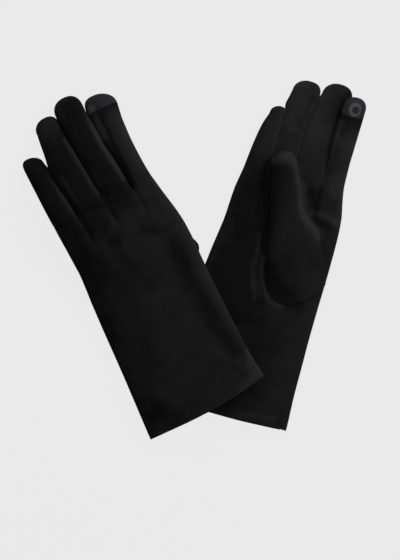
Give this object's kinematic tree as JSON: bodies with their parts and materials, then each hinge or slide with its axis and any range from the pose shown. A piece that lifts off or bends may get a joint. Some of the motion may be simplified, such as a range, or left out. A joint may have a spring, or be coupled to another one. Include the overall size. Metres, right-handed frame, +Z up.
{
  "type": "pair of lined dress gloves",
  "caption": "Pair of lined black dress gloves laid flat and crossed at the cuffs, with bending fingers, thumbs folded across the palms and touchscreen index tips.",
  "frame": {"origin": "centre of the pair's outline, on the surface the gloves lie on", "axes": "+X to the viewer's right, +Y from the cuffs towards the fingertips, +Z up, away from the surface; a viewer above sees the back of the left glove and the palm of the right one"},
  "size_m": [0.2712, 0.2768, 0.0203],
  "materials": {
    "shell_suede": "matte microsuede",
    "side_suede": "matte microsuede",
    "hem_suede": "matte microsuede",
    "lining_fleece": "brushed fleece",
    "touch_knit": "slightly shiny conductive knit"
  },
  "bodies": {
    "right_hand": {"right_back_panel": "shell_suede", "right_palm_panel": "shell_suede", "right_little_side_seam": "side_suede", "right_index_side_seam": "side_suede", "right_ring_little_fourchette": "side_suede", "right_middle_ring_fourchette": "side_suede", "right_index_middle_fourchette": "side_suede", "right_hand_lining": "lining_fleece", "right_cuff_hem": "hem_suede"},
    "right_thumb": {"right_thumb_inner": "shell_suede", "right_thumb_outer": "shell_suede", "right_thumb_sides": "side_suede", "right_thumb_lining": "lining_fleece"},
    "right_little_finger": {"right_little_back": "shell_suede", "right_little_palm": "shell_suede", "right_little_sides": "side_suede", "right_little_lining": "lining_fleece"},
    "right_ring_finger": {"right_ring_back": "shell_suede", "right_ring_palm": "shell_suede", "right_ring_sides": "side_suede", "right_ring_lining": "lining_fleece"},
    "right_middle_finger": {"right_middle_back": "shell_suede", "right_middle_palm": "shell_suede", "right_middle_sides": "side_suede", "right_middle_lining": "lining_fleece"},
    "right_index_finger": {"right_index_back": "shell_suede", "right_index_palm": "shell_suede", "right_index_sides": "side_suede", "right_index_lining": "lining_fleece", "right_index_touch_tip": "touch_knit"},
    "left_hand": {"left_back_panel": "shell_suede", "left_palm_panel": "shell_suede", "left_little_side_seam": "side_suede", "left_index_side_seam": "side_suede", "left_ring_little_fourchette": "side_suede", "left_middle_ring_fourchette": "side_suede", "left_index_middle_fourchette": "side_suede", "left_hand_lining": "lining_fleece", "left_cuff_hem": "hem_suede"},
    "left_thumb": {"left_thumb_inner": "shell_suede", "left_thumb_outer": "shell_suede", "left_thumb_sides": "side_suede", "left_thumb_lining": "lining_fleece"},
    "left_little_finger": {"left_little_back": "shell_suede", "left_little_palm": "shell_suede", "left_little_sides": "side_suede", "left_little_lining": "lining_fleece"},
    "left_ring_finger": {"left_ring_back": "shell_suede", "left_ring_palm": "shell_suede", "left_ring_sides": "side_suede", "left_ring_lining": "lining_fleece"},
    "left_middle_finger": {"left_middle_back": "shell_suede", "left_middle_palm": "shell_suede", "left_middle_sides": "side_suede", "left_middle_lining": "lining_fleece"},
    "left_index_finger": {"left_index_back": "shell_suede", "left_index_palm": "shell_suede", "left_index_sides": "side_suede", "left_index_lining": "lining_fleece", "left_index_touch_tip": "touch_knit"}
  },
  "joints": [
    {"name": "left_glove_lift", "type": "slide", "parent": "right_hand", "child": "left_hand", "axis": [0, 0, 1], "range_m": [0, 0.09]},
    {"name": "left_little_middle_joint", "type": "hinge", "parent": "left_hand", "child": "left_little_finger", "pos_m": [-0.10944, 0.04485, 0.0103], "axis": [-0.8652, -0.5015, 0], "range_deg": [-13.04, 71.96]},
    {"name": "left_ring_middle_joint", "type": "hinge", "parent": "left_hand", "child": "left_ring_finger", "pos_m": [-0.09738, 0.07006, 0.0103], "axis": [-0.8796, -0.4756, 0], "range_deg": [-11.08, 73.92]},
    {"name": "left_middle_middle_joint", "type": "hinge", "parent": "left_hand", "child": "left_middle_finger", "pos_m": [-0.07698, 0.0798, 0.0103], "axis": [-0.8763, -0.4818, 0], "range_deg": [-9.89, 75.11]},
    {"name": "left_index_middle_joint", "type": "hinge", "parent": "left_hand", "child": "left_index_finger", "pos_m": [-0.05641, 0.0896, 0.0103], "axis": [-0.8886, -0.4587, 0], "range_deg": [-11.3, 73.7]},
    {"name": "left_thumb_fold", "type": "hinge", "parent": "left_hand", "child": "left_thumb", "pos_m": [-0.01886, -0.00492, 0.01], "axis": [0, 0, -1], "range_deg": [0, 60]},
    {"name": "right_little_middle_joint", "type": "hinge", "parent": "right_hand", "child": "right_little_finger", "pos_m": [0.04845, 0.07899, 0.01], "axis": [0.9438, -0.3305, 0], "range_deg": [0, 85]},
    {"name": "right_ring_middle_joint", "type": "hinge", "parent": "right_hand", "child": "right_ring_finger", "pos_m": [0.07325, 0.08971, 0.01], "axis": [0.9553, -0.2957, 0], "range_deg": [0, 85]},
    {"name": "right_middle_middle_joint", "type": "hinge", "parent": "right_hand", "child": "right_middle_finger", "pos_m": [0.09511, 0.08303, 0.01], "axis": [0.9542, -0.299, 0], "range_deg": [0, 85]},
    {"name": "right_index_middle_joint", "type": "hinge", "parent": "right_hand", "child": "right_index_finger", "pos_m": [0.11528, 0.07686, 0.01], "axis": [0.9613, -0.2756, 0], "range_deg": [0, 85]},
    {"name": "right_thumb_fold", "type": "hinge", "parent": "right_hand", "child": "right_thumb", "pos_m": [0.07477, -0.01687, 0.01], "axis": [0, 0, -1], "range_deg": [0, 60]}
  ]
}
